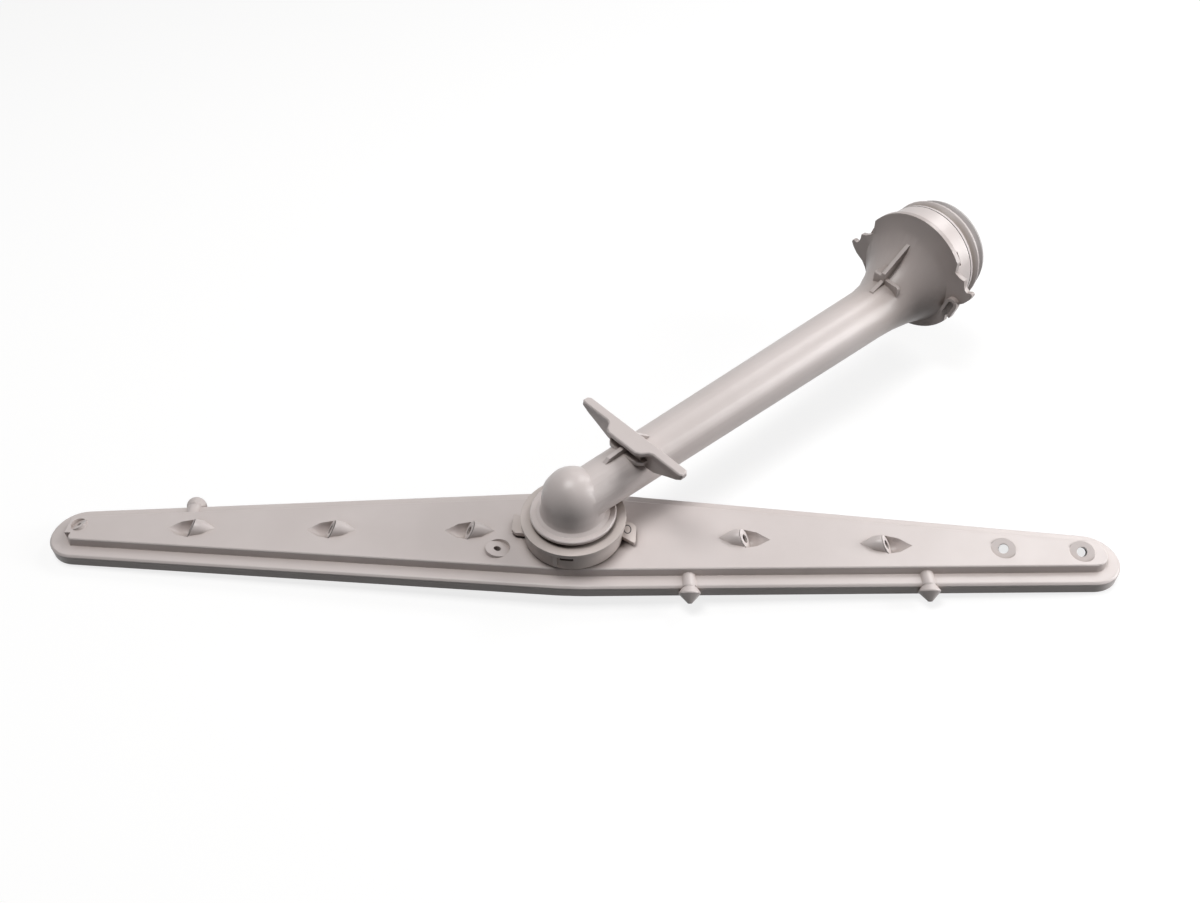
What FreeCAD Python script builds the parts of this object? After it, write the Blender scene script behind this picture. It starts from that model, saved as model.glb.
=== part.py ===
import FreeCAD, Part
import math
import os

V = FreeCAD.Vector

# Dishwasher spray arm with its feed pipe, in millimetres.
# Z is the spin axis of the arm, X runs along the arm, z = 0 is the plane under both tips.
# The feed pipe leaves the hub towards the back and ends in the docking mouth.

# Arm
ARM_HALF = 232.5
DROOP = 5.7
WALL_H = 6.3
STEP_H = 3.7
HALF_W_MID = 27.8
HALF_W_END = 12.76
LEDGE_W = 6.1
STEP_DRAFT = 0.75
WALL = 1.8
SEAM_H = 4.0
MID_ROUND = 120.0
END_LEDGE_R = 5.6
END_LEDGE_L = 9.9
ARM_Z0 = DROOP
Z_SEAM = ARM_Z0 + SEAM_H
Z_LEDGE = ARM_Z0 + WALL_H
Z_PLATE = Z_LEDGE + STEP_H
TAPER = (HALF_W_MID - HALF_W_END) / ARM_HALF
TILT = math.degrees(math.atan(DROOP / ARM_HALF))

# Nozzles along the arm: the lens-shaped ones from the hub, the round ones from the right tip
LENS_X = [-168.0, -105.7, -45.0, 72.7, 132.9]
LENS_HALF_L = 11.0
LENS_R = 4.6
LENS_RIM = 0.5
LENS_WALL = 1.4
LENS_LEAN = 35.0
LENS_BORE_R = 1.9
LENS_SIDES = 14
JET_SIDES = 10
ROUND_IN = [50.0, 16.9]
ROUND_Y = 0.4
ROUND_R = 5.2
ROUND_HOLE = 2.1
ROUND_TURN = 18.0
HUB_JET_X = -31.9
HUB_JET_Y = -9.9
HUB_JET_HOLE = 1.6
TIP_JET_IN = 13.3
TIP_JET_Y = 1.7
TIP_JET_R = 3.4
TIP_JET_HOLE = 1.0

# Side jets on the front and the back edge; their heads look outwards and down
SIDE_FRONT_X = [49.5, 149.4]
SIDE_BACK_X = [-172.4]
SIDE_RIB_R = 3.2
SIDE_BORE_R = 2.4
SIDE_NECK_R = 2.9
SIDE_HEAD_R = 4.6
SIDE_RIM_AT = 1.5
SIDE_RIM_T = 0.6
SIDE_HEAD_L = 6.0
SIDE_TIP_R = 0.9
SIDE_JET_R = 0.55
SIDE_TILT = 30.0
SIDE_DROP = 1.35
SIDE_SIDES = 20

# Cross ribs on the floor of the lower shell
KEEL_X = [-190.7, -139.5, -79.0, 79.0, 120.9, 160.4]
KEEL_T = 1.2
KEEL_H = 1.2

# Hub: spigot of the feed pipe in the neck of the arm
SPIGOT_R = 15.0
RUN_CLEAR = 0.06
SPIGOT_WALL = 3.8
NECK_WALL = 1.94
NECK_H = 6.4
END_PLAY = 0.35
SNAP_STEP = 1.4
SNAP_T = 1.2
DISC_R = 18.3
DISC_GAP = 2.0
DISC_T = 1.4
NECK_BORE = SPIGOT_R + RUN_CLEAR
NECK_R = NECK_BORE + NECK_WALL
NECK_TOP = Z_PLATE + NECK_H
SPIGOT_END = Z_PLATE - WALL - 0.7
PASSAGE_R = SPIGOT_R - SPIGOT_WALL
SNAP_R = SPIGOT_R + SNAP_STEP
SNAP_Z0 = NECK_TOP + END_PLAY
SNAP_Z1 = SNAP_Z0 + SNAP_T

# Bayonet between neck and lock ring
TAB_H = 1.6
TAB_ARC = 34.0
TAB_STEP = 1.5
TAB_GAP = 0.3
TAB_AT = (45.0, 135.0, 225.0, 315.0)
NECK_TAB_TOP = NECK_TOP - 1.5
NECK_TAB_Z0 = NECK_TAB_TOP - TAB_H
TAB_R = NECK_R + TAB_STEP
RING_TAB_TOP = NECK_TAB_Z0 - 0.1
RING_TAB_Z0 = RING_TAB_TOP - TAB_H
RING_TAB_R = NECK_R + TAB_GAP

# Lock ring
RING_FLOAT = 0.4
RING_WALL = 2.3
RING_LID_T = 1.8
RING_FLARE = 1.2
RING_IN_R = TAB_R + 0.4
RING_BASE_R = RING_IN_R + RING_WALL
RING_LIP_R = RING_BASE_R + RING_FLARE
RING_HOLE_R = SPIGOT_R + 0.5
RING_BASE_Z = Z_PLATE + RING_FLOAT
RING_LID_Z = SNAP_Z1 + END_PLAY
RING_TOP_Z = RING_LID_Z + RING_LID_T
RING_SIDES = 48
LUG_T = 2.3
LUG_LIFT = 0.4
LUG_REACH = 5.4
LUG_FALL = 8.0
SLOT_W = 5.6
SLOT_H = 1.4
DISC_Z0 = RING_TOP_Z + DISC_GAP
DISC_TOP = DISC_Z0 + DISC_T

# Feed pipe, in its own frame: s along the pipe, t sideways, z up
PIPE_TURN = 43.71
PIPE_OFF = 2.17
PIPE_R0 = 10.6
PIPE_GROW = 0.0119
CORE_WALL = 1.8
PIPE_CLEAR = 0.65
PIPE_SIDES = 36
ELBOW_R = 13.1
ELBOW_SIDES = 32
CORE_R = PIPE_R0 - CORE_WALL
PIPE_Z = RING_TOP_Z + PIPE_CLEAR + PIPE_R0 + PIPE_GROW * RING_LIP_R
FUNNEL_S = 186.0
FUNNEL_L = 26.4
FUNNEL_R = 25.0
FUNNEL_SINK = 3.0
FLANGE_S = FUNNEL_S + FUNNEL_L
FLANGE_T = 2.4
FLANGE_R = 29.6
FLANGE_FLAT = 24.4
FLANGE_SHIFT = 2.0
EAR_ROLL = 4.0
EAR_UP = 1.5
DOCK_RISE = 14.0
DOCK_Z = PIPE_Z + DOCK_RISE
FUNNEL_WALL = 2.0
TAIL_WALL = 2.0
TAIL_R = 19.5
TAIL_L = 15.2
TAIL_IN = TAIL_R - TAIL_WALL
TAIL_END = FLANGE_S + FLANGE_T + TAIL_L

# Rack hanger on the pipe
HANG_S = 34.4
HANG_UP = 17.0
HANG_HALF = 30.8
HANG_T = 2.0
WING_T = 4.3
WING_WALL = 2.4
SHELF_FWD = 9.0
SHELF_HALF = 10.6
SHELF_UP = 10.7
SHELF_T = 1.8
FIN_T = 2.0
CROSS_IN = 7.6
HANG_TOP = PIPE_Z + HANG_UP
SHELF_S = HANG_S - SHELF_FWD
SHELF_TOP = PIPE_Z + SHELF_UP

# Dock sleeve and seal
SLEEVE_IN = 24.25
SLEEVE_WALL = 2.15
SLEEVE_L = 12.5
REAR_WALL = 2.25
REAR_L = 6.2
WINDOW_ARC = 15.0
WINDOW_IN = 3.2
WINDOW_L = 2.4
CATCH_ANGLES = (148.0, -32.0)
SEAL_L = 14.3
DOCK_SIDES = 48
SLEEVE_R = SLEEVE_IN + SLEEVE_WALL
SLEEVE_START = FLANGE_S + FLANGE_T
SLEEVE_END = SLEEVE_START + SLEEVE_L
REAR_RING_R = SLEEVE_IN
REAR_IN_R = SLEEVE_IN - REAR_WALL
REAR_END = SLEEVE_START + REAR_L
LIP_STEP = 0.5
MOUTH_R = TAIL_IN - LIP_STEP
MOUTH_S = SLEEVE_END + SEAL_L


def half_width(x):
    """Half width of the arm at the ledge before the ends are rounded."""
    return HALF_W_MID - TAPER * abs(x)


def end_arc(inset, x_tip):
    """Centre and radius of an end circle that touches both slanted sides and x_tip."""
    a = math.atan(TAPER)
    w0 = HALF_W_MID - inset / math.cos(a)
    # circle of radius r at c: w0*cos(a) - c*sin(a) = r and c + r = x_tip
    r = (w0 * math.cos(a) - x_tip * math.sin(a)) / (1.0 - math.sin(a))
    return x_tip - r, r, a


def outline(inset, x_left, x_right, flat_left=False):
    """Closed plan outline of the arm, inset from the outer edge."""
    a = math.atan(TAPER)
    w0 = HALF_W_MID - inset / math.cos(a)
    t = MID_ROUND * math.tan(a)
    mid_x = t * math.cos(a)
    mid_y = w0 - t * math.sin(a)
    crown = MID_ROUND / math.cos(a) - MID_ROUND
    edges = []
    cr, rr, a = end_arc(inset, x_right)
    pr = V(cr + rr * math.sin(a), rr * math.cos(a), 0)
    mt = V(0, w0 - crown, 0)
    if flat_left:
        left_top = V(-x_left + 2.6, w0 - TAPER * (x_left - 2.6), 0)
        left_bot = V(-x_left + 1.6, TAPER * (x_left - 1.6) - w0, 0)
        low = V(-x_left, left_bot.y + 2.2, 0)
        high = V(-x_left + 1.2, left_top.y - 1.6, 0)
        edges.append(Part.makeLine(left_bot, low))
        edges.append(Part.makeLine(low, high))
        edges.append(Part.makeLine(high, left_top))
    else:
        cl, rl, a = end_arc(inset, x_left)
        left_top = V(-cl - rl * math.sin(a), rl * math.cos(a), 0)
        left_bot = V(left_top.x, -left_top.y, 0)
        edges.append(Part.Arc(left_bot, V(-x_left, 0, 0), left_top).toShape())
    edges.append(Part.makeLine(left_top, V(-mid_x, mid_y, 0)))
    edges.append(Part.Arc(V(-mid_x, mid_y, 0), mt, V(mid_x, mid_y, 0)).toShape())
    edges.append(Part.makeLine(V(mid_x, mid_y, 0), pr))
    edges.append(Part.Arc(pr, V(x_right, 0, 0), V(pr.x, -pr.y, 0)).toShape())
    edges.append(Part.makeLine(V(pr.x, -pr.y, 0), V(mid_x, -mid_y, 0)))
    edges.append(Part.Arc(V(mid_x, -mid_y, 0), V(0, -mt.y, 0), V(-mid_x, -mid_y, 0)).toShape())
    edges.append(Part.makeLine(V(-mid_x, -mid_y, 0), left_bot))
    return Part.Wire(Part.__sortEdges__(edges))


def coarse(wire):
    """The same outline with short straight runs for its arcs, for hidden faces."""
    pts = wire.discretize(Deflection=0.35)
    if pts[0].distanceToPoint(pts[-1]) > 1e-6:
        pts.append(pts[0])
    return Part.makePolygon(pts)


def prism(wire, z0, z1):
    """Solid between two heights from a plan outline."""
    w = wire.copy()
    w.translate(V(0, 0, z0))
    return Part.Face(w).extrude(V(0, 0, z1 - z0))


def box(x0, x1, y0, y1, z0, z1):
    """Axis-aligned box from its limits."""
    return Part.makeBox(x1 - x0, y1 - y0, z1 - z0, V(x0, y0, z0))


def ring(r_out, r_in, z0, z1):
    """Round ring about Z."""
    outer = Part.makeCylinder(r_out, z1 - z0, V(0, 0, z0))
    return outer.cut(Part.makeCylinder(r_in, z1 - z0 + 2, V(0, 0, z0 - 1)))


def revolve_z(points):
    """Solid of revolution about Z from (r, z) points."""
    pts = [V(r, 0, z) for r, z in points]
    pts.append(pts[0])
    return Part.Face(Part.makePolygon(pts)).revolve(V(0, 0, 0), V(0, 0, 1), 360)


def turned(points, sides, closed=False):
    """Turned body about X in flat strips; (x, radius) points run from axis to axis or close on themselves."""
    pairs = list(zip(points, points[1:]))
    if closed:
        pairs.append((points[-1], points[0]))
    faces = []
    for (xa, ra), (xb, rb) in pairs:
        for i in range(sides):
            a0 = 2.0 * math.pi * i / sides
            a1 = 2.0 * math.pi * (i + 1) / sides
            corners = [V(xa, ra * math.cos(a0), ra * math.sin(a0)), V(xb, rb * math.cos(a0), rb * math.sin(a0))]
            if rb > 0.0:
                corners.append(V(xb, rb * math.cos(a1), rb * math.sin(a1)))
            if ra > 0.0:
                corners.append(V(xa, ra * math.cos(a1), ra * math.sin(a1)))
            corners.append(corners[0])
            faces.append(Part.Face(Part.makePolygon(corners)))
    body = Part.Solid(Part.Shell(faces))
    if body.Volume < 0:
        body.reverse()
    return body.removeSplitter()


def stand_up(shape):
    """Turn a body about X into one about Z."""
    shape.rotate(V(0, 0, 0), V(0, 1, 0), -90.0)
    return shape


def rod(r, length, sides):
    """Many-sided rod along +Z from the origin."""
    pts = []
    for i in range(sides):
        a = 2.0 * math.pi * i / sides
        pts.append(V(r * math.cos(a), r * math.sin(a), 0))
    pts.append(pts[0])
    return Part.Face(Part.makePolygon(pts)).extrude(V(0, 0, length))


def sector(r0, r1, z0, z1, mid, arc):
    """Ring sector about Z, centred on angle mid."""
    big = Part.makeCylinder(r1, z1 - z0, V(0, 0, z0), V(0, 0, 1), arc)
    small = Part.makeCylinder(r0, z1 - z0 + 2, V(0, 0, z0 - 1))
    s = big.cut(small)
    s.rotate(V(0, 0, 0), V(0, 0, 1), mid - arc / 2.0)
    return s


def pod(r, half_l):
    """Spindle about X with pointed ends."""
    shoulder = 0.75 * r
    run = [(-half_l, 0.0), (-half_l / 2, shoulder), (0.0, r), (half_l / 2, shoulder), (half_l, 0.0)]
    return turned(run, LENS_SIDES)


def union(shapes):
    """Fuse a list of solids."""
    first = shapes[0]
    return first.fuse(shapes[1:]) if len(shapes) > 1 else first


def lens_parts(x):
    """Raised half, wall around the hollow, hollow and bore of one lens nozzle, facing away from the hub."""
    deep = LENS_R + LENS_RIM
    keep = box(-30, 0, -20, 20, -20, 20)
    keep.rotate(V(0, 0, 0), V(0, 1, 0), -LENS_LEAN)
    bump = pod(LENS_R, LENS_HALF_L).common(keep).common(box(-20, 20, -20, 20, -0.4, 20))
    pad = pod(deep + LENS_WALL, LENS_HALF_L + LENS_WALL).common(box(-20, 20, -20, 20, -20, 0))
    hollow = pod(deep, LENS_HALF_L).cut(keep).common(box(-20, 20, -20, 20, -20, 0.5))
    bore = rod(LENS_BORE_R, 3.0 * LENS_R, JET_SIDES)
    bore.translate(V(0, 0, 1.0 - 3.0 * LENS_R))
    bore.rotate(V(0, 0, 0), V(0, 1, 0), 90.0 - LENS_LEAN)
    made = []
    for s in (bump, pad, hollow, bore):
        if x < 0:
            s = s.mirror(V(0, 0, 0), V(1, 0, 0))
        s.translate(V(x, 0, Z_PLATE))
        made.append(s)
    return made


def tilted_jet(x, y, r, direction, angle):
    """Round nozzle whose face is turned about a level axis: raised part, air above it and pad below."""
    z = Z_PLATE
    axis = V(-direction.y, direction.x, 0)
    sink = r * math.sin(math.radians(angle))
    boss = Part.makeCylinder(r, sink + 1.0, V(0, 0, -sink - 1.0))
    air = Part.makeCylinder(r, 12, V(0, 0, 0))
    made = []
    for s in (boss, air):
        s.rotate(V(0, 0, 0), axis, angle)
        s.translate(V(x, y, z))
        made.append(s)
    limit = box(x - 20, x + 20, y - 20, y + 20, z - 0.4, z + 10)
    half = r + LENS_WALL
    pad = box(x - half, x + half, y - half, y + half, z - sink - LENS_WALL, z)
    return made[0].common(limit), made[1], pad


def side_frame(x, side):
    """Point on the outer edge and the outward turn of the side wall at station x."""
    a = math.degrees(math.atan(TAPER))
    turn = a if (side < 0) == (x > 0) else -a
    return V(x, side * half_width(x), Z_LEDGE - SIDE_DROP), turn


def side_place(shape, x, side):
    """Move a shape built along +Y at the origin to a side jet station."""
    p, turn = side_frame(x, side)
    if side < 0:
        shape.rotate(V(0, 0, 0), V(0, 0, 1), 180)
    shape.rotate(V(0, 0, 0), V(0, 0, 1), turn)
    shape.translate(p)
    return shape


def side_rib(x, side):
    """Half-round rib from the step out to the wall."""
    s = Part.makeCylinder(SIDE_RIB_R, LEDGE_W + 1.2, V(0, -LEDGE_W - 1.2, 0), V(0, 1, 0))
    return side_place(s, x, side)


def side_bore(x, side):
    """Water way of a side jet."""
    s = Part.makeCylinder(SIDE_BORE_R, LEDGE_W + 3.2, V(0, -LEDGE_W - 3.0, 0), V(0, 1, 0))
    return side_place(s, x, side)


def side_plug(x, side):
    """Plug with a shank in the rib and a flared, pointed head that is turned down."""
    end = -LEDGE_W - 0.4
    shank = turned([(end, 0.0), (end, SIDE_BORE_R), (1.0, SIDE_BORE_R), (1.0, 0.0)], SIDE_SIDES)
    head = turned([
        (-2.5, 0.0), (-2.5, SIDE_NECK_R), (-0.8, SIDE_NECK_R), (SIDE_RIM_AT, SIDE_HEAD_R),
        (SIDE_RIM_AT + SIDE_RIM_T, SIDE_HEAD_R), (SIDE_HEAD_L, SIDE_TIP_R), (SIDE_HEAD_L, 0.0),
    ], SIDE_SIDES)
    jet = stand_up(rod(SIDE_JET_R, SIDE_HEAD_L + 1.0, 6))
    jet.rotate(V(0, 0, 0), V(0, 1, 0), 180.0)
    head.rotate(V(0, 0, 0), V(0, 1, 0), SIDE_TILT)
    jet.rotate(V(0, 0, 0), V(0, 1, 0), SIDE_TILT)
    head = head.common(box(0, 2 * SIDE_HEAD_L, -9, 9, -9, 9))
    way = turned([(end - 1, 0.0), (end - 1, 1.2), (1.0, 1.2), (1.0, 0.0)], 8)
    body = shank.fuse(head).cut([way, jet]).removeSplitter()
    body.rotate(V(0, 0, 0), V(0, 0, 1), 90.0)
    return side_place(body, x, side)


def droop(shape):
    """Bend the level arm: each half turns down about the middle."""
    out = []
    far = ARM_HALF + HALF_W_MID
    wide = 2.0 * HALF_W_MID
    for sgn in (1.0, -1.0):
        h = shape.copy()
        h.rotate(V(0, 0, Z_LEDGE), V(0, 1, 0), sgn * TILT)
        lo = 0.0 if sgn > 0 else -far
        h = h.common(box(lo, lo + far, -wide, wide, -wide, wide))
        out.append(h)
    return out[0].fuse(out[1]).removeSplitter()


def droop_side(shape, x):
    """Turn a separate piece down with its half of the arm."""
    sgn = 1.0 if x > 0 else -1.0
    shape.rotate(V(0, 0, Z_LEDGE), V(0, 1, 0), sgn * TILT)
    return shape


def level_top_skin():
    """Upper shell without nozzles, before it is bent."""
    right = ARM_HALF - END_LEDGE_R
    left = ARM_HALF - END_LEDGE_L
    rim = outline(0, ARM_HALF, ARM_HALF)
    low = outline(LEDGE_W, left, right, True)
    outer = prism(rim, Z_SEAM, Z_LEDGE)
    outer = outer.makeChamfer(0.9, top_edges(outer, Z_LEDGE))
    outer = outer.makeChamfer(0.3, top_edges(outer, Z_LEDGE))
    plate = prism(low, Z_LEDGE - 0.5, Z_PLATE)
    plate = plate.makeChamfer(STEP_H - 0.1, STEP_DRAFT, top_edges(plate, Z_PLATE))
    plate = plate.makeChamfer(0.4, top_edges(plate, Z_PLATE))
    inner_rim = coarse(outline(WALL, ARM_HALF - WALL, ARM_HALF - WALL))
    inner = prism(inner_rim, Z_SEAM - 1, Z_LEDGE - WALL)
    inner_top = coarse(outline(LEDGE_W + WALL, left - WALL - 0.6, right - WALL))
    cave = prism(inner_top, Z_SEAM - 1, Z_PLATE - WALL)
    return outer.fuse(plate), inner.fuse(cave)


def top_edges(shape, z):
    """Edges of a solid that lie at height z."""
    found = []
    for e in shape.Edges:
        b = e.BoundBox
        if abs(b.ZMin - z) < 1e-4 and abs(b.ZMax - z) < 1e-4:
            found.append(e)
    return found


def arm_top_shell():
    """Upper shell with all its nozzles and the neck."""
    skin, inner = level_top_skin()
    adds = []
    cuts = []
    pads = []
    for x in LENS_X:
        bump, pad, hollow, bore = lens_parts(x)
        adds.append(bump)
        pads.append(pad)
        cuts.extend([hollow, bore])
    for x in round_stations():
        boss, air, wall = tilted_jet(x, ROUND_Y, ROUND_R, V(-0.25, -0.60, 0).normalize(), ROUND_TURN)
        adds.append(boss)
        pads.append(wall)
        cuts.extend([air, see_through(x)])
    aim = V(0.78, 0.62, 0)
    boss, air, wall = tilted_jet(HUB_JET_X, HUB_JET_Y, ROUND_R, aim, ROUND_TURN)
    adds.append(boss)
    pads.append(wall)
    cuts.extend([air, jet_hole(HUB_JET_X, HUB_JET_Y, aim, ROUND_TURN, HUB_JET_HOLE)])
    tip_x = TIP_JET_IN - ARM_HALF
    aim = V(-0.85, 0.5, 0)
    boss, air, wall = tilted_jet(tip_x, TIP_JET_Y, TIP_JET_R, aim, 26.0)
    adds.append(boss)
    pads.append(wall)
    cuts.extend([air, jet_hole(tip_x, TIP_JET_Y, aim, 26.0, TIP_JET_HOLE)])
    shell = skin.cut(inner).fuse(pads)
    above = box(-2 * ARM_HALF, 2 * ARM_HALF, -2 * HALF_W_MID, 2 * HALF_W_MID, Z_SEAM, 4 * Z_PLATE)
    shell = shell.fuse([side_rib(x, side).common(above) for x, side in side_stations()])
    shell = shell.fuse(adds).cut(cuts)
    shell = shell.cut([side_bore(x, side) for x, side in side_stations()])
    shell = droop(shell)
    neck = ring(NECK_R, NECK_BORE, Z_PLATE - WALL, NECK_TOP)
    tabs = [sector(NECK_R - 0.5, TAB_R, NECK_TAB_Z0, NECK_TAB_TOP, a, TAB_ARC) for a in TAB_AT]
    shell = shell.fuse([neck] + tabs)
    return shell.cut(Part.makeCylinder(NECK_BORE, NECK_H + 10, V(0, 0, Z_PLATE - 5))).removeSplitter()


def round_stations():
    """Stations of the round nozzles near the right tip."""
    return [ARM_HALF - inset for inset in ROUND_IN]


def side_stations():
    """Stations of the side jets with their side: -1 front, 1 back."""
    return [(x, -1) for x in SIDE_FRONT_X] + [(x, 1) for x in SIDE_BACK_X]


def see_through(x):
    """Straight hole through both shells, so light falls through the nozzle."""
    d = V(0.31, 0.62, -0.72)
    s = rod(ROUND_HOLE, 30, JET_SIDES + 4)
    s.translate(V(0, 0, -8))
    s.Placement = FreeCAD.Placement(V(x, ROUND_Y, Z_PLATE) - d * 8, FreeCAD.Rotation(V(0, 0, 1), d))
    return s


def jet_hole(x, y, direction, angle, r):
    """Hole square to the face of a tilted nozzle."""
    s = rod(r, 14, JET_SIDES)
    s.translate(V(0, 0, -6.5))
    s.rotate(V(0, 0, 0), V(-direction.y, direction.x, 0), angle)
    s.translate(V(x, y, Z_PLATE))
    return s


def arm_bottom_shell():
    """Lower shell: floor and outer wall."""
    outer = prism(outline(0, ARM_HALF, ARM_HALF), ARM_Z0, Z_SEAM)
    outer = outer.makeChamfer(0.7, top_edges(outer, ARM_Z0))
    rim = coarse(outline(WALL, ARM_HALF - WALL, ARM_HALF - WALL))
    inner = prism(rim, ARM_Z0 + WALL, Z_SEAM + 1)
    shell = outer.cut(inner)
    keel = []
    for x in KEEL_X:
        w = half_width(x) - WALL + 0.3
        keel.append(box(x - KEEL_T / 2, x + KEEL_T / 2, -w, w, ARM_Z0 + WALL - 0.2, ARM_Z0 + WALL + KEEL_H))
    shell = shell.fuse(keel)
    shell = shell.cut([side_bore(x, side) for x, side in side_stations()])
    shell = shell.cut([see_through(x) for x in round_stations()])
    return droop(shell)


def side_plugs():
    """Three equal plugs."""
    return Part.makeCompound([droop_side(side_plug(x, side), x) for x, side in side_stations()])


def lock_ring():
    """Collar that hangs the arm on the feed pipe."""
    body = stand_up(turned([
        (RING_BASE_Z, RING_IN_R),
        (RING_BASE_Z, RING_BASE_R),
        (RING_LID_Z - 1.0, RING_BASE_R),
        (RING_LID_Z - 0.1, RING_LIP_R),
        (RING_TOP_Z, RING_LIP_R),
        (RING_TOP_Z, RING_HOLE_R),
        (RING_LID_Z, RING_HOLE_R),
        (RING_LID_Z, RING_IN_R),
    ], RING_SIDES, True))
    tabs = [sector(RING_TAB_R, RING_IN_R + 0.6, RING_TAB_Z0, RING_TAB_TOP, a, TAB_ARC) for a in TAB_AT]
    ribs = [ring_rib(a - 17.0) for a in (-90.0, 90.0)]
    body = body.fuse(tabs + [lug(0), lug(180)] + ribs)
    return body.cut([ring_slot(a - 4.5) for a in (-90.0, 90.0)]).removeSplitter()


def ring_rib(angle):
    """Upright rib on the outside of the ring."""
    r = box(RING_BASE_R - 1.0, RING_LIP_R - 0.2, -1.0, 1.0, RING_BASE_Z + 1.3, RING_LID_Z + 0.6)
    r.rotate(V(0, 0, 0), V(0, 0, 1), angle)
    return r


def ring_slot(angle):
    """Short slot through the ring wall under its lip."""
    top = RING_LID_Z + 0.1 - SLOT_H
    s = box(RING_IN_R - 1.5, RING_LIP_R + 2, -SLOT_W / 2, SLOT_W / 2, top - SLOT_H, top)
    s.rotate(V(0, 0, 0), V(0, 0, 1), angle)
    return s


def lug(angle):
    """Finger lug, wider at its outer end, with a top that falls outwards."""
    z0 = RING_BASE_Z + LUG_LIFT
    x0 = RING_IN_R + 0.7
    x1 = RING_BASE_R + LUG_REACH
    pts = [
        V(x0, -3.9, z0),
        V(x1 - 0.8, -7.4, z0),
        V(x1, -6.6, z0),
        V(x1, 1.6, z0),
        V(x1 - 1.8, 3.7, z0),
        V(x0 + 1.8, 4.2, z0),
        V(x0, 4.2, z0),
    ]
    pts.append(pts[0])
    s = Part.Face(Part.makePolygon(pts)).extrude(V(0, 0, LUG_T))
    slope = box(-1, 2 * LUG_REACH, -9, 9, 0, 3)
    slope.rotate(V(0, 0, 0), V(0, 1, 0), LUG_FALL)
    slope.translate(V(x0, 0, z0 + LUG_T))
    s = s.cut(slope)
    s.rotate(V(0, 0, 0), V(0, 0, 1), angle)
    return s


def to_world(shape):
    """Pipe frame (s, t, z) to the part frame."""
    s = shape.copy()
    s.translate(V(0, -PIPE_OFF, 0))
    s.rotate(V(0, 0, 0), V(0, 0, 1), PIPE_TURN)
    return s


def pipe_r(s):
    """Outer radius of the pipe at station s."""
    return PIPE_R0 + PIPE_GROW * s


def many_sided(s, z, r):
    """Regular ring of short edges across the pipe direction, even with a circle of radius r."""
    n = PIPE_SIDES
    rr = r / math.sqrt(math.cos(math.pi / n))
    pts = []
    for i in range(n):
        a = 2.0 * math.pi * i / n
        pts.append(V(s, rr * math.cos(a), z + rr * math.sin(a)))
    pts.append(pts[0])
    return Part.makePolygon(pts)


def straight_run(s0, r0, s1, r1):
    """Tapered bar along the pipe between two stations."""
    return Part.makeLoft([many_sided(s0, PIPE_Z, r0), many_sided(s1, PIPE_Z, r1)], True, True)


def funnel(r0, r1):
    """Trumpet that widens and rises towards the dock axis, from radius r0 to r1."""
    rise = DOCK_RISE - FUNNEL_SINK
    rows = []
    for along, share in ((0.0, 0.0), (0.3, 0.07), (0.62, 0.31), (0.84, 0.58), (1.0, 1.0)):
        s = FUNNEL_S + along * (FUNNEL_L + 0.6)
        rows.append(many_sided(s, PIPE_Z + share * rise, r0 + share * (r1 - r0)))
    return Part.makeLoft(rows, True, True)


def flange():
    """Flat flange with two forked ears, a little off the pipe's middle."""
    ear = [
        (12.0, 24.6), (16.2, 19.4), (20.6, 13.6), (24.8, 8.6), (28.2, 6.7), (30.6, 6.2), (30.9, 4.0),
        (31.6, 1.9), (33.0, 0.6), (34.6, 1.2), (35.6, 1.0), (36.0, 0.0), (34.9, -2.4), (32.4, -5.4),
        (28.6, -8.2), (26.4, -11.4), (24.8, -15.4), (19.6, -20.2),
    ]
    pts = [V(0, t, z + EAR_UP) for t, z in ear]
    pts += [V(0, -t, z + EAR_UP) for t, z in reversed(ear)]
    pts.append(pts[0])
    blade = Part.Face(Part.makePolygon(pts)).extrude(V(FLANGE_T, 0, 0))
    blade.rotate(V(0, 0, 0), V(1, 0, 0), -EAR_ROLL)
    disc = Part.makeCylinder(FLANGE_R, FLANGE_T, V(0, 0, 0), V(1, 0, 0))
    side = box(-1, FLANGE_T + 1, FLANGE_FLAT, 2 * FLANGE_R, -2 * FLANGE_R, 2 * FLANGE_R)
    disc = disc.cut([side, side.mirror(V(0, 0, 0), V(0, 1, 0))])
    s = disc.fuse(blade)
    s.translate(V(FLANGE_S, -FLANGE_SHIFT, DOCK_Z))
    return s


def clip_eye():
    """Small U-shaped loop on the front of the flange."""
    outer = box(0, 2.6, -3.2, 3.2, -5.0, 2.0).fuse(Part.makeCylinder(3.2, 2.6, V(0, 0, 2.0), V(1, 0, 0)))
    inner = box(-1, 1.9, -1.6, 1.6, -9.0, 2.0).fuse(Part.makeCylinder(1.6, 2.9, V(-1, 0, 2.0), V(1, 0, 0)))
    s = outer.cut(inner)
    s.rotate(V(0, 0, 0), V(1, 0, 0), 18.0)
    s.translate(V(FLANGE_S - 2.4, 0.9 - FLANGE_R, DOCK_Z - 6.0))
    return s


def plate_t(points, s0, s1):
    """Plate across the pipe from (t, z) points."""
    pts = [V(s0, t, z) for t, z in points]
    pts.append(pts[0])
    return Part.Face(Part.makePolygon(pts)).extrude(V(s1 - s0, 0, 0))


def web(points, t0, t1):
    """Web along the pipe from (s, z) points."""
    pts = [V(s, t0, z) for s, z in points]
    pts.append(pts[0])
    return Part.Face(Part.makePolygon(pts)).extrude(V(0, t1 - t0, 0))


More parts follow.
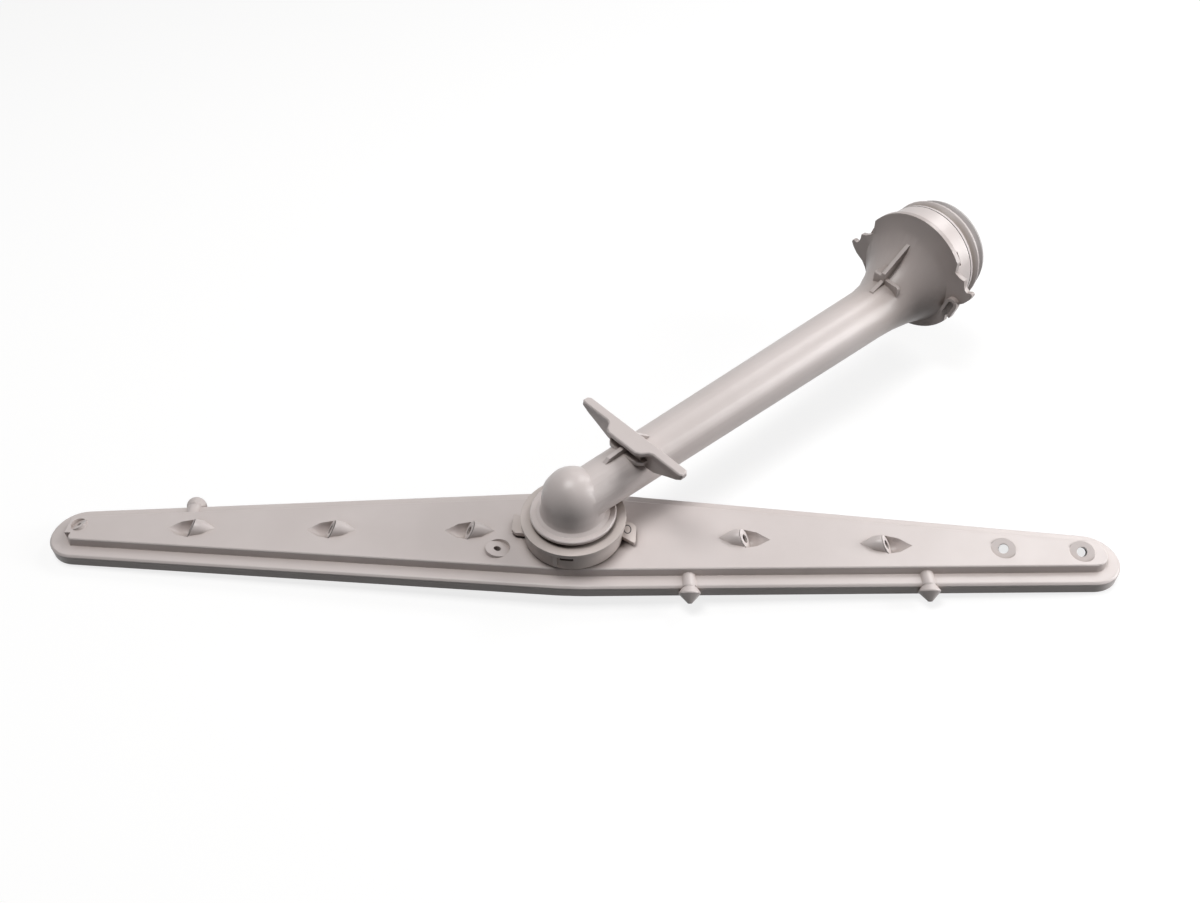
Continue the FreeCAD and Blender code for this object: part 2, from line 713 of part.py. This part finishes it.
def hanger_top():
    """Long plate of the hanger with a deeper middle."""
    front = HANG_S - WING_T
    mid = SHELF_HALF - 1.0
    half = [
        (HANG_S, HANG_HALF - 1.4), (HANG_S - 1.2, HANG_HALF), (front + 0.8, HANG_HALF), (front, HANG_HALF - 1.0),
        (front, mid + 4.4), (front - 0.7, mid + 2.8), (front - 2.2, mid + 1.7), (SHELF_S + 1.4, mid + 1.0),
        (SHELF_S, mid - 1.4),
    ]
    pts = [V(s, t, HANG_TOP - HANG_T) for s, t in half]
    pts += [V(s, -t, HANG_TOP - HANG_T) for s, t in reversed(half)]
    pts.append(pts[0])
    top = Part.Face(Part.makePolygon(pts)).extrude(V(0, 0, HANG_T))
    return top.makeChamfer(0.5, top_edges(top, HANG_TOP))


def hanger_wings():
    """Turned-down wall under the front of the plate, deepest at the pipe."""
    h = HANG_TOP
    e = HANG_HALF - 0.3
    wing = [
        (e, h - 1.6), (e, h - 2.7), (e - 2.9, h - 4.7), (e - 9.1, h - 7.4), (e - 16.1, h - 10.7),
        (e - 21.5, h - 11.3),
    ]
    prof = wing + [(-t, z) for t, z in reversed(wing)]
    front = HANG_S - WING_T + 0.3
    return plate_t(prof, front, front + WING_WALL)


def hanger_shelf():
    """Small rounded shelf under the deep middle; a rail slides in the gap above it."""
    half = [
        (HANG_S - 0.5, SHELF_HALF), (SHELF_S + 3.0, SHELF_HALF), (SHELF_S + 0.6, SHELF_HALF - 2.4),
        (SHELF_S, SHELF_HALF - 5.0),
    ]
    pts = [V(s, t, SHELF_TOP - SHELF_T) for s, t in half]
    pts += [V(s, -t, SHELF_TOP - SHELF_T) for s, t in reversed(half)]
    pts.append(pts[0])
    return Part.Face(Part.makePolygon(pts)).extrude(V(0, 0, SHELF_T))


def hanger():
    """Rack hanger: top plate, wings, core, shelf and two gussets."""
    h = HANG_TOP
    low = SHELF_TOP - SHELF_T - 0.6
    core_t = SHELF_HALF - 2.2
    core = box(SHELF_S + 2.8, HANG_S - 0.3, -core_t, core_t, low, h - 1.6)
    nose = [(SHELF_S + 4.0, h - 3.7), (SHELF_S + 0.5, h - 3.7), (SHELF_S - 2.8, h - 3.9), (SHELF_S - 7.4, h - 4.4)]
    nose += [(SHELF_S - 13.2, h - 9.3), (SHELF_S + 4.0, h - 9.3)]
    tail = [(HANG_S - 0.6, h - 0.7), (HANG_S + 0.6, h - 1.3), (HANG_S + 9.0, h - 8.3), (HANG_S - 0.6, h - 8.3)]
    fins = [web(nose, -FIN_T / 2, FIN_T / 2), web(tail, -FIN_T / 2, FIN_T / 2)]
    return [hanger_top(), hanger_wings(), core, hanger_shelf()] + fins


def cross_rib():
    """Crossed webs where the pipe widens, with a small block beside them."""
    c = PIPE_Z + pipe_r(FUNNEL_S)
    s0 = FUNNEL_S + CROSS_IN
    low = c - 3.0
    half = FIN_T / 2
    end = FLANGE_S + 0.8
    long_fin = web([(s0, low), (s0, c + 7.5), (s0 + 1.2, c + 7.9), (end, c + 18.3), (end, c)], -half, half)
    across = plate_t([(0.0, low), (0.0, c + 4.4), (-8.4, c + 3.4), (-9.2, c + 2.4), (-9.2, low)], s0 + 0.4, s0 + 2.2)
    block = web([(s0, low), (s0, c + 5.6), (s0 + 1.0, c + 6.3), (s0 + 8.2, c + 6.3), (s0 + 12.4, c)], 0.0, 5.2)
    short_fin = web([(s0 - 8.2, c - 3.0), (s0 - 7.4, c + 0.5), (s0 + 0.6, c + 3.6), (s0 + 0.6, c - 3.0)], -half, half)
    return [long_fin, across, block, short_fin]


def dome(r, z):
    """Points of a quarter round from (r, z) up to the axis."""
    turns = [math.radians(a) for a in (0.0, 22.0, 43.0, 60.0, 75.0, 90.0)]
    return [(r * math.cos(a), z + r * math.sin(a)) for a in turns[:-1]] + [(0.0, z + r)]


def elbow_body():
    """Spigot with its snap bead and the disc over the lock ring, with the round elbow on top."""
    foot = DISC_TOP
    hub = revolve_z([
        (0.0, SPIGOT_END), (SPIGOT_R, SPIGOT_END), (SPIGOT_R, SNAP_Z0), (SNAP_R, SNAP_Z0),
        (SNAP_R, SNAP_Z1 - 0.4), (SPIGOT_R, SNAP_Z1), (SPIGOT_R, DISC_Z0), (DISC_R, DISC_Z0),
        (DISC_R, foot - 0.4), (DISC_R - 0.4, foot), (0.0, foot),
    ])
    bend = [(foot - 0.5, 0.0), (foot - 0.5, ELBOW_R + 2.6), (foot, ELBOW_R + 2.6), (foot + 1.0, ELBOW_R + 1.0)]
    bend.append((foot + 3.2, ELBOW_R))
    bend += [(z, r) for r, z in dome(ELBOW_R, PIPE_Z)]
    return hub.fuse(stand_up(turned(bend, ELBOW_SIDES)))


def dock_end():
    """Tail tube and rear ring behind the flange."""
    at = V(SLEEVE_START - 1.0, 0, DOCK_Z)
    tail = Part.makeCylinder(TAIL_R, TAIL_L + 1.0, at, V(1, 0, 0))
    start = SLEEVE_START - 1.0
    rear = turned([(start, REAR_IN_R), (start, REAR_RING_R), (REAR_END, REAR_RING_R), (REAR_END, REAR_IN_R)],
                  DOCK_SIDES, True)
    rear.translate(V(0, 0, DOCK_Z))
    return [tail, rear] + [catch(a) for a in CATCH_ANGLES]


def water_way():
    """Open passage from the spigot to the mouth."""
    top = PIPE_Z + ELBOW_R
    shaft = stand_up(turned([
        (SPIGOT_END - 1.0, 0.0), (SPIGOT_END - 1.0, PASSAGE_R), (PIPE_Z + 3.0, PASSAGE_R), (top - 2.9, 0.0),
    ], ELBOW_SIDES - 8))
    bore = straight_run(0.0, CORE_R, FUNNEL_S + 0.5, CORE_R)
    cave = funnel(CORE_R, FUNNEL_R - FUNNEL_WALL)
    mouth = Part.makeCylinder(TAIL_IN, TAIL_END - FLANGE_S + 4, V(FLANGE_S - 0.4, 0, DOCK_Z), V(1, 0, 0))
    return union([shaft, to_world(bore), to_world(cave), to_world(mouth)])


def feed_pipe():
    """Elbow, pipe, hanger, funnel and flange as one moulding."""
    end = FUNNEL_S + 0.5
    run = straight_run(0.0, pipe_r(0.0), end, pipe_r(end))
    flare = funnel(pipe_r(FUNNEL_S), FUNNEL_R)
    extras = hanger() + cross_rib() + [flange(), clip_eye()] + dock_end()
    solid = union([elbow_body()] + [to_world(s) for s in [run, flare] + extras])
    return solid.cut(water_way()).removeSplitter()


def sector_s(r0, r1, s0, s1, mid, arc):
    """Ring sector about the dock axis; angle 0 points along +t and 90 points up."""
    b = sector(r0, r1, s0, s1, mid + 90.0, arc)
    b.rotate(V(0, 0, 0), V(0, 1, 0), 90.0)
    b.translate(V(0, 0, DOCK_Z))
    return b


def catch(angle):
    """Snap catch on the rear ring that sits in a sleeve window."""
    s0 = SLEEVE_START + WINDOW_IN
    return sector_s(REAR_RING_R - 1.0, SLEEVE_R - 0.5, s0 + 0.2, s0 + WINDOW_L - 0.2, angle, WINDOW_ARC - 2.0)


def window(angle):
    """Opening in the sleeve for a snap catch."""
    s0 = SLEEVE_START + WINDOW_IN
    return sector_s(SLEEVE_IN - 2.0, SLEEVE_R + 2.0, s0, s0 + WINDOW_L, angle, WINDOW_ARC)


def dock_sleeve():
    """Smooth sleeve that clips onto the flange and holds the seal."""
    s0 = SLEEVE_START
    s1 = SLEEVE_END
    body = turned([(s0, SLEEVE_IN), (s0, SLEEVE_R), (s1, SLEEVE_R), (s1, SLEEVE_IN)], DOCK_SIDES, True)
    body.translate(V(0, 0, DOCK_Z))
    return to_world(body.cut([window(a) for a in CATCH_ANGLES]))


def dock_seal():
    """Ribbed ring seal at the mouth: a round bore for the tail and a narrower one at the lip."""
    a = SLEEVE_END
    r = SLEEVE_IN
    inside = MOUTH_R - 1.0
    profile = [
        (REAR_END, inside), (REAR_END, r), (a, r), (a + 0.4, r + 2.2), (a + 1.8, r + 2.0),
        (a + 2.3, r + 0.2), (a + 4.2, r + 0.7), (a + 5.8, r + 2.3), (a + 6.5, r + 2.4), (a + 7.3, r + 1.9),
        (a + 8.2, r - 0.5), (a + 10.4, r - 0.5), (a + 12.0, r + 0.5), (MOUTH_S - 0.8, r - 0.1),
        (MOUTH_S, r - 1.9), (MOUTH_S, inside),
    ]
    body = turned(profile, DOCK_SIDES, True)
    body.translate(V(0, 0, DOCK_Z))
    tail_hole = Part.makeCylinder(TAIL_R, TAIL_END - REAR_END + 1.0, V(REAR_END - 1.0, 0, DOCK_Z), V(1, 0, 0))
    mouth = Part.makeCylinder(MOUTH_R, SEAL_L + 9.0, V(REAR_END, 0, DOCK_Z), V(1, 0, 0))
    return to_world(body.cut([tail_hole, mouth]))


def write(name, shape):
    """Save one node."""
    shape.exportStep(os.path.join("parts", name + ".step"))


os.makedirs("parts", exist_ok=True)
write("arm_top_shell", arm_top_shell())
write("arm_bottom_shell", arm_bottom_shell())
write("side_plugs", side_plugs())
write("lock_ring", lock_ring())
write("feed_pipe", feed_pipe())
write("dock_sleeve", dock_sleeve())
write("dock_seal", dock_seal())
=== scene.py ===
"""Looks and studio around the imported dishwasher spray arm."""
import math

import bpy
from mathutils import Matrix, Vector


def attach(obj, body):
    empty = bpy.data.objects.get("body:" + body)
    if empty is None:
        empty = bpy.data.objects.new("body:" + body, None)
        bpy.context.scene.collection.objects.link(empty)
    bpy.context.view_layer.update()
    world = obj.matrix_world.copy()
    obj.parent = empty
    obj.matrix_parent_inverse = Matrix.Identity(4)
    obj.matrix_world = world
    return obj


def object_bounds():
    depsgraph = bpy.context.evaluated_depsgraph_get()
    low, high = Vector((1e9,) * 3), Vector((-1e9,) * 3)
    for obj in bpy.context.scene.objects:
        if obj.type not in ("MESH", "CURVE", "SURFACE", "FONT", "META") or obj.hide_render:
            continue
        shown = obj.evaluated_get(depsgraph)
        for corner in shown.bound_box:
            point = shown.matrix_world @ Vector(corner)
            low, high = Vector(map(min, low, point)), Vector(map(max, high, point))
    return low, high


MM = 0.001

# Camera, in millimetres and degrees, at the photograph's viewing angle
CAM_AT = (32.5, -329.1, 389.1)
CAM_AZ = 3.58
CAM_EL = 44.57
CAM_ROLL = -1.25
CAM_LENS = 34.82

# Oval mark on the lug of the lock ring, whose top falls outwards, drawn as a near-black line of
# painted shade for its engraved groove: millimetres and degrees
LUG_MARK = (22.9, -0.25, 18.34)
LUG_FALL = 8.0
MARK_RX = 1.7
MARK_RY = 2.5
MARK_LINE = 0.42
MARK_LIFT = 0.07

# Faces of the lens nozzles, as they lie on the arm before its two halves droop
NOZZLE_X = (-168.0, -105.7, -45.0, 72.7, 132.9)
PLATE_Z = 15.7
ARM_TILT = 1.405
FACE_LEAN = 35.0
BORE_R = 1.95
FACE_R = 4.35
FACE_EDGE = 0.15
FACE_LIFT = 0.04
FACE_OFF = 0.005

# Direction of the feed pipe, and where the seal shows along it, in degrees and millimetres
PIPE_AZ = 43.71
SEAL_START = 227.3
SEAL_END = 241.6

# Painted shade in corners and holes, darker by the share of open sky that ambient occlusion finds
UNTINTED = (1, 1, 1, 1)
CORNER_SHADE = (0.66, 0.62, 0.59, 1)
DEEP = (0.16, 0.14, 0.13, 1)
DEEP_TO = 0.16
SHADE_AT = 0.40
CLEAR_FROM = 0.95

# Darker and lighter tone of each material
BODY_TONES = ((0.605, 0.548, 0.533, 1), (0.655, 0.598, 0.585, 1))
RING_TONES = ((0.585, 0.525, 0.498, 1), (0.635, 0.575, 0.548, 1))
SEAL_TONES = ((0.480, 0.437, 0.420, 1), (0.535, 0.490, 0.470, 1))
# Lighter tone of the nozzle faces is a painted highlight
FACE_HIGHLIGHT_TONES = ((0.720, 0.665, 0.655, 1), (0.760, 0.705, 0.695, 1))
# Near-black painted shade for the engraved oval groove on the lug
MARK_GROOVE_SHADE = (0.05, 0.045, 0.05, 1)

# Colour factors along the seal's grooves and ribs, chosen: painted shade in the grooves and in the
# dark line by the sleeve, painted highlight on the ribs, and a cooler tone of the rubber towards the
# far end
SEAL_SHADE_HIGHLIGHT_TONE = (
    (0.00, (0.30, 0.28, 0.28, 1)),
    (0.03, (1.18, 1.18, 1.22, 1)),
    (0.12, (1.18, 1.18, 1.22, 1)),
    (0.16, (0.86, 0.83, 0.80, 1)),
    (0.31, (0.84, 0.81, 0.78, 1)),
    (0.39, (1.22, 1.22, 1.24, 1)),
    (0.46, (1.14, 1.14, 1.16, 1)),
    (0.57, (0.58, 0.56, 0.58, 1)),
    (0.75, (0.66, 0.66, 0.68, 1)),
    (0.86, (0.86, 0.90, 0.92, 1)),
    (1.00, (0.96, 1.02, 1.06, 1)),
)

# Darker tone of the funnel up to the eared flange, matched: painted shade. Darker tone of
# the funnel up to the eared flange, matched by eye: its cause is not known
FUNNEL_START = 160.0
FUNNEL_END = 212.0
FUNNEL_SHADE_TONE = ((0.0, (1, 1, 1, 1)), (0.5, (0.88, 0.86, 0.84, 1)), (1.0, (0.74, 0.72, 0.71, 1)))

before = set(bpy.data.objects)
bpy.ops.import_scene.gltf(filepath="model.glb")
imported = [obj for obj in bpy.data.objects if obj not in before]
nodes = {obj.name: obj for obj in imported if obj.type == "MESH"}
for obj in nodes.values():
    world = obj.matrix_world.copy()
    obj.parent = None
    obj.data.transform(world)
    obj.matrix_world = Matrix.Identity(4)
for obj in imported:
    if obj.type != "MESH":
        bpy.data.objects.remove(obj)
cad_box = [list(corner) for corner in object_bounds()]


def new_material(name):
    """Empty node material; returns the material, its tree and its output."""
    mat = bpy.data.materials.new(name)
    mat.use_nodes = True
    tree = mat.node_tree
    tree.nodes.clear()
    out = tree.nodes.new("ShaderNodeOutputMaterial")
    return mat, tree, out


def noise(tree, coord, scale, detail, rough=0.55):
    """Noise texture on object coordinates."""
    n = tree.nodes.new("ShaderNodeTexNoise")
    n.inputs["Scale"].default_value = scale
    n.inputs["Detail"].default_value = detail
    n.inputs["Roughness"].default_value = rough
    tree.links.new(coord, n.inputs["Vector"])
    return n.outputs["Fac"]


def ramp(tree, fac, stops):
    """Colour ramp from (position, colour) stops, in rising order."""
    r = tree.nodes.new("ShaderNodeValToRGB")
    marks = r.color_ramp.elements
    while len(marks) < len(stops):
        marks.new(0.5)
    for mark, (position, colour) in zip(marks, stops):
        mark.position = position
        mark.color = colour
    tree.links.new(fac, r.inputs["Fac"])
    return r.outputs["Color"]


def span(tree, fac, lo, hi):
    """Maps 0..1 to lo..hi."""
    m = tree.nodes.new("ShaderNodeMapRange")
    m.inputs["To Min"].default_value = lo
    m.inputs["To Max"].default_value = hi
    tree.links.new(fac, m.inputs["Value"])
    return m.outputs["Result"]


def bump(tree, height, strength, distance, normal=None):
    """Bump from a height, on top of an earlier normal."""
    b = tree.nodes.new("ShaderNodeBump")
    b.inputs["Strength"].default_value = strength
    b.inputs["Distance"].default_value = distance
    tree.links.new(height, b.inputs["Height"])
    if normal is not None:
        tree.links.new(normal, b.inputs["Normal"])
    return b.outputs["Normal"]


def times(tree, colour, factor):
    """Product of two colours."""
    mix = tree.nodes.new("ShaderNodeMix")
    mix.data_type = "RGBA"
    mix.blend_type = "MULTIPLY"
    mix.inputs["Factor"].default_value = 1.0
    tree.links.new(colour, mix.inputs["A"])
    tree.links.new(factor, mix.inputs["B"])
    return mix.outputs["Result"]


def painted_corner_shade(tree, colour, depth, shade):
    """Paints shade into a colour in recesses, inner corners and deep holes, to match the photograph's
    tones.
    """
    near = tree.nodes.new("ShaderNodeAmbientOcclusion")
    near.samples = 8
    near.inputs["Distance"].default_value = depth
    stops = ((0.0, DEEP), (DEEP_TO, DEEP), (SHADE_AT, shade), (CLEAR_FROM, UNTINTED))
    return times(tree, colour, ramp(tree, near.outputs["AO"], stops))


def along_pipe(tree, coord, colour, start, end, bands):
    """Multiplies a colour by stops along the feed pipe, between two distances from the hub's axis."""
    turn = math.radians(PIPE_AZ)
    dot = tree.nodes.new("ShaderNodeVectorMath")
    dot.operation = "DOT_PRODUCT"
    dot.inputs[1].default_value = (math.cos(turn), math.sin(turn), 0.0)
    tree.links.new(coord, dot.inputs[0])
    part = tree.nodes.new("ShaderNodeMapRange")
    part.inputs["From Min"].default_value = start * MM
    part.inputs["From Max"].default_value = end * MM
    tree.links.new(dot.outputs["Value"], part.inputs["Value"])
    return times(tree, colour, ramp(tree, part.outputs["Result"], bands))


def moulded_plastic(name, tones, rough, grain, edge, depth=0.005, shade=CORNER_SHADE, bands=()):
    """Satin moulded plastic: cloudy tone, fine grain, faint flow waves and soft edges, with painted
    shade in corners and holes and optional colour bands along the pipe.
    """
    mat, tree, out = new_material(name)
    coord = tree.nodes.new("ShaderNodeTexCoord").outputs["Object"]
    p = tree.nodes.new("ShaderNodeBsdfPrincipled")
    colour = ramp(tree, noise(tree, coord, 26.0, 4.0), ((0.3, tones[0]), (0.72, tones[1])))
    if bands:
        colour = along_pipe(tree, coord, colour, *bands)
    tree.links.new(painted_corner_shade(tree, colour, depth, shade), p.inputs["Base Color"])
    patch = noise(tree, coord, 90.0, 5.0, 0.6)
    tree.links.new(span(tree, patch, rough - 0.07, rough + 0.08), p.inputs["Roughness"])
    soft = tree.nodes.new("ShaderNodeBevel")
    soft.samples = 6
    soft.inputs["Radius"].default_value = edge
    wave = bump(tree, noise(tree, coord, 55.0, 2.0), 0.12, 0.0006, soft.outputs["Normal"])
    fine = bump(tree, noise(tree, coord, 2600.0, 3.0, 0.7), grain, 0.00008, wave)
    tree.links.new(fine, p.inputs["Normal"])
    p.inputs["IOR"].default_value = 1.49
    p.inputs["Specular IOR Level"].default_value = 0.45
    tree.links.new(p.outputs["BSDF"], out.inputs["Surface"])
    return mat


def plain(name, colour, rough):
    """One flat colour."""
    mat, tree, out = new_material(name)
    p = tree.nodes.new("ShaderNodeBsdfPrincipled")
    p.inputs["Base Color"].default_value = colour
    p.inputs["Roughness"].default_value = rough
    tree.links.new(p.outputs["BSDF"], out.inputs["Surface"])
    return mat


def soften(obj, angle):
    """Smooth shading over the flat strips of round faces, with true corners kept."""
    for poly in obj.data.polygons:
        poly.use_smooth = True
    if "custom_normal" in obj.data.attributes:
        obj.data.attributes.remove(obj.data.attributes["custom_normal"])
    weld = obj.modifiers.new("weld", "WELD")
    weld.merge_threshold = 2e-6
    split = obj.modifiers.new("corners", "EDGE_SPLIT")
    split.split_angle = math.radians(angle)
    even = obj.modifiers.new("even", "WEIGHTED_NORMAL")
    even.mode = "FACE_AREA_WITH_ANGLE"
    even.keep_sharp = True


def dress(name, mat, angle=32.0):
    """Gives a CAD node its material."""
    obj = nodes[name]
    obj.data.materials.clear()
    obj.data.materials.append(mat)
    soften(obj, angle)


def mesh_piece(name, verts, faces, mat, body):
    """New mesh piece in the row frame, in millimetres, that rides on a body."""
    mesh = bpy.data.meshes.new(name)
    mesh.from_pydata([Vector(v) * MM for v in verts], [], faces)
    mesh.update()
    obj = bpy.data.objects.new(name, mesh)
    bpy.context.scene.collection.objects.link(obj)
    mesh.materials.append(mat)
    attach(obj, body)
    return obj


def ring_mark(name, centre, fall, mat, body, sides=40):
    """Thin raised oval line on a face that falls away along X."""
    drop = math.tan(math.radians(fall))
    verts = []
    faces = []
    for i in range(sides):
        a = 2.0 * math.pi * i / sides
        for inset, lift in ((0.0, 0.0), (0.0, MARK_LIFT), (MARK_LINE, MARK_LIFT), (MARK_LINE, 0.0)):
            x = (MARK_RX - inset) * math.cos(a)
            y = (MARK_RY - inset) * math.sin(a)
            verts.append((centre[0] + x, centre[1] + y, centre[2] - x * drop + lift))
        j = (i + 1) % sides
        for k in range(4):
            m = (k + 1) % 4
            faces.append((4 * i + k, 4 * j + k, 4 * j + m, 4 * i + m))
    return mesh_piece(name, verts, faces, mat, body)


def drooped(x, y, z):
    """Point of the straight arm after its half has tilted down."""
    t = math.radians(ARM_TILT)
    far = abs(x) * math.cos(t) + z * math.sin(t)
    return (math.copysign(far, x), y, z * math.cos(t) - abs(x) * math.sin(t))


def nozzle_face(name, x, mat, sides=36):
    """Thin smooth ring on the slanting face of a lens nozzle, round its bore, whose lighter tone is a
    painted highlight.
    """
    way = math.copysign(1.0, x)
    lean = math.radians(FACE_LEAN - ARM_TILT)
    out = Vector((way * math.cos(lean), 0.0, math.sin(lean)))
    rise = Vector((-way * math.sin(lean), 0.0, math.cos(lean)))
    centre = Vector(drooped(x, 0.0, PLATE_Z))
    inner, outer = BORE_R + FACE_EDGE, FACE_R - FACE_EDGE
    profile = ((BORE_R, 0.0), (inner, FACE_LIFT), (outer, FACE_LIFT), (FACE_R, 0.0))
    verts = []
    faces = []
    for i in range(sides):
        a = 2.0 * math.pi * i / sides
        spoke = Vector((0.0, 1.0, 0.0)) * math.cos(a) + rise * math.sin(a)
        for r, lift in profile:
            verts.append(centre + spoke * r + out * (lift + FACE_OFF))
        j = (i + 1) % sides
        for k in range(3):
            faces.append((4 * i + k, 4 * j + k, 4 * j + k + 1, 4 * i + k + 1))
    return mesh_piece(name, verts, faces, mat, "spray_arm")


# Materials
body_plastic = moulded_plastic("spray_plastic", BODY_TONES, 0.34, 0.22, 0.00045)
ring_plastic = moulded_plastic("ring_plastic_look", RING_TONES, 0.40, 0.22, 0.0004)
# Seal rubber, with painted shade in its grooves and painted highlight on its ribs
seal_look = moulded_plastic(
    "seal_rubber_look",
    SEAL_TONES,
    0.42,
    0.30,
    0.0003,
    depth=0.004,
    shade=(0.55, 0.52, 0.50, 1),
    bands=(SEAL_START, SEAL_END, SEAL_SHADE_HIGHLIGHT_TONE),
)
# Pipe plastic, with painted shade on the funnel up to the eared flange
pipe_plastic = moulded_plastic(
    "pipe_plastic_look",
    BODY_TONES,
    0.34,
    0.22,
    0.00045,
    bands=(FUNNEL_START, FUNNEL_END, FUNNEL_SHADE_TONE),
)
# Nozzle faces, whose lighter tone is a painted highlight
face_highlight_plastic = moulded_plastic("nozzle_face_look", FACE_HIGHLIGHT_TONES, 0.28, 0.10, 0.0001)
# Painted shade for the engraved oval groove on the lug
mark_groove_shade = plain("mark_dark", MARK_GROOVE_SHADE, 0.6)

for node in ("arm_top_shell", "arm_bottom_shell", "side_plugs", "dock_sleeve"):
    dress(node, body_plastic)
dress("feed_pipe", pipe_plastic)
dress("lock_ring", ring_plastic)
dress("dock_seal", seal_look)

ring_mark("lock_mark", LUG_MARK, LUG_FALL, mark_groove_shade, "locking_ring")
for number, nozzle in enumerate(NOZZLE_X):
    nozzle_face("nozzle_face_%d" % number, nozzle, face_highlight_plastic)

# Floor, light and camera: metres
FLOOR_HALF = 6.0
FLOOR_DROP = 0.0004
FLOOR_GLOW = 0.80
FLOOR_MATT = 0.24
FLOOR_BOUNCE = 0.10
WORLD_LIGHT = 0.02
LAMP_AIM = (0.04, 0.05, 0.0)


def seen_directly(tree):
    """One where the camera, a mirror or clear glass looks at it, nought for bounced light."""
    path = tree.nodes.new("ShaderNodeLightPath")
    value = path.outputs["Is Camera Ray"]
    for ray in ("Is Glossy Ray", "Is Transmission Ray"):
        larger = tree.nodes.new("ShaderNodeMath")
        larger.operation = "MAXIMUM"
        tree.links.new(value, larger.inputs[0])
        tree.links.new(path.outputs[ray], larger.inputs[1])
        value = larger.outputs["Value"]
    return value


def floor_material(glow, matt, bounce):
    """White floor that keeps the part's soft shadow and sends little light back up."""
    mat, tree, out = new_material("floor_white")
    shine = tree.nodes.new("ShaderNodeEmission")
    shine.inputs["Color"].default_value = (1, 1, 1, 1)
    shine.inputs["Strength"].default_value = glow
    lit = tree.nodes.new("ShaderNodeBsdfDiffuse")
    lit.inputs["Color"].default_value = (matt, matt, matt, 1)
    dull = tree.nodes.new("ShaderNodeBsdfDiffuse")
    dull.inputs["Color"].default_value = (bounce, bounce, bounce, 1)
    both = tree.nodes.new("ShaderNodeAddShader")
    tree.links.new(shine.outputs["Emission"], both.inputs[0])
    tree.links.new(lit.outputs["BSDF"], both.inputs[1])
    mix = tree.nodes.new("ShaderNodeMixShader")
    tree.links.new(seen_directly(tree), mix.inputs["Fac"])
    tree.links.new(dull.outputs["BSDF"], mix.inputs[1])
    tree.links.new(both.outputs["Shader"], mix.inputs[2])
    tree.links.new(mix.outputs["Shader"], out.inputs["Surface"])
    return mat


def floor_plane():
    """Pale floor under the part."""
    mesh = bpy.data.meshes.new("floor")
    s = FLOOR_HALF
    z = cad_box[0][2] - FLOOR_DROP
    mesh.from_pydata([(-s, -s, z), (s, -s, z), (s, s, z), (-s, s, z)], [], [(0, 1, 2, 3)])
    obj = bpy.data.objects.new("floor", mesh)
    bpy.context.scene.collection.objects.link(obj)
    mesh.materials.append(floor_material(FLOOR_GLOW, FLOOR_MATT, FLOOR_BOUNCE))


def world_light(strength):
    """White behind everything, soft grey light from all round."""
    world = bpy.data.worlds.new("studio")
    bpy.context.scene.world = world
    world.use_nodes = True
    tree = world.node_tree
    tree.nodes.clear()
    out = tree.nodes.new("ShaderNodeOutputWorld")
    seen = tree.nodes.new("ShaderNodeBackground")
    seen.inputs["Color"].default_value = (1, 1, 1, 1)
    seen.inputs["Strength"].default_value = 1.0
    lit = tree.nodes.new("ShaderNodeBackground")
    lit.inputs["Color"].default_value = (0.96, 0.97, 1.0, 1)
    lit.inputs["Strength"].default_value = strength
    mix = tree.nodes.new("ShaderNodeMixShader")
    tree.links.new(seen_directly(tree), mix.inputs["Fac"])
    tree.links.new(lit.outputs["Background"], mix.inputs[1])
    tree.links.new(seen.outputs["Background"], mix.inputs[2])
    tree.links.new(mix.outputs["Shader"], out.inputs["Surface"])


def area_light(name, az, el, far, size, power, colour):
    """Soft square lamp, placed by direction and distance from the middle of the part."""
    data = bpy.data.lights.new(name, "AREA")
    data.shape = "SQUARE"
    data.size = size
    data.energy = power
    data.color = colour
    obj = bpy.data.objects.new(name, data)
    bpy.context.scene.collection.objects.link(obj)
    turn, rise = math.radians(az), math.radians(el)
    way = Vector((math.cos(turn) * math.cos(rise), math.sin(turn) * math.cos(rise), math.sin(rise)))
    obj.location = Vector(LAMP_AIM) + way * far
    obj.rotation_euler = way.to_track_quat("Z", "Y").to_euler()


def camera():
    """Camera from its angles, with its roll."""
    az, el, roll = (math.radians(v) for v in (CAM_AZ, CAM_EL, CAM_ROLL))
    back = Vector((math.sin(az) * math.cos(el), -math.cos(az) * math.cos(el), math.sin(el)))
    side = Vector((0, 0, 1)).cross(back).normalized()
    up = back.cross(side)
    right = side * math.cos(roll) + up * math.sin(roll)
    top = up * math.cos(roll) - side * math.sin(roll)
    data = bpy.data.cameras.new("photo_camera")
    data.sensor_fit = "HORIZONTAL"
    data.sensor_width = 36.0
    data.lens = CAM_LENS
    data.clip_start = 0.01
    data.clip_end = 50.0
    obj = bpy.data.objects.new("photo_camera", data)
    bpy.context.scene.collection.objects.link(obj)
    turn = Matrix((right, top, back)).transposed().to_4x4()
    obj.matrix_world = Matrix.Translation(Vector(CAM_AT) * MM) @ turn
    bpy.context.scene.camera = obj


floor_plane()
world_light(WORLD_LIGHT)
area_light("right", 2, 22, 0.86, 0.4, 4.8, (1.0, 0.99, 0.985))
area_light("behind_right", 48, 44, 1.2, 0.36, 3.6, (1.0, 0.99, 0.985))
area_light("top", 180, 78, 1.2, 0.5, 8.6, (1.0, 0.99, 0.98))
camera()

scene = bpy.context.scene
scene.view_settings.view_transform = "Standard"
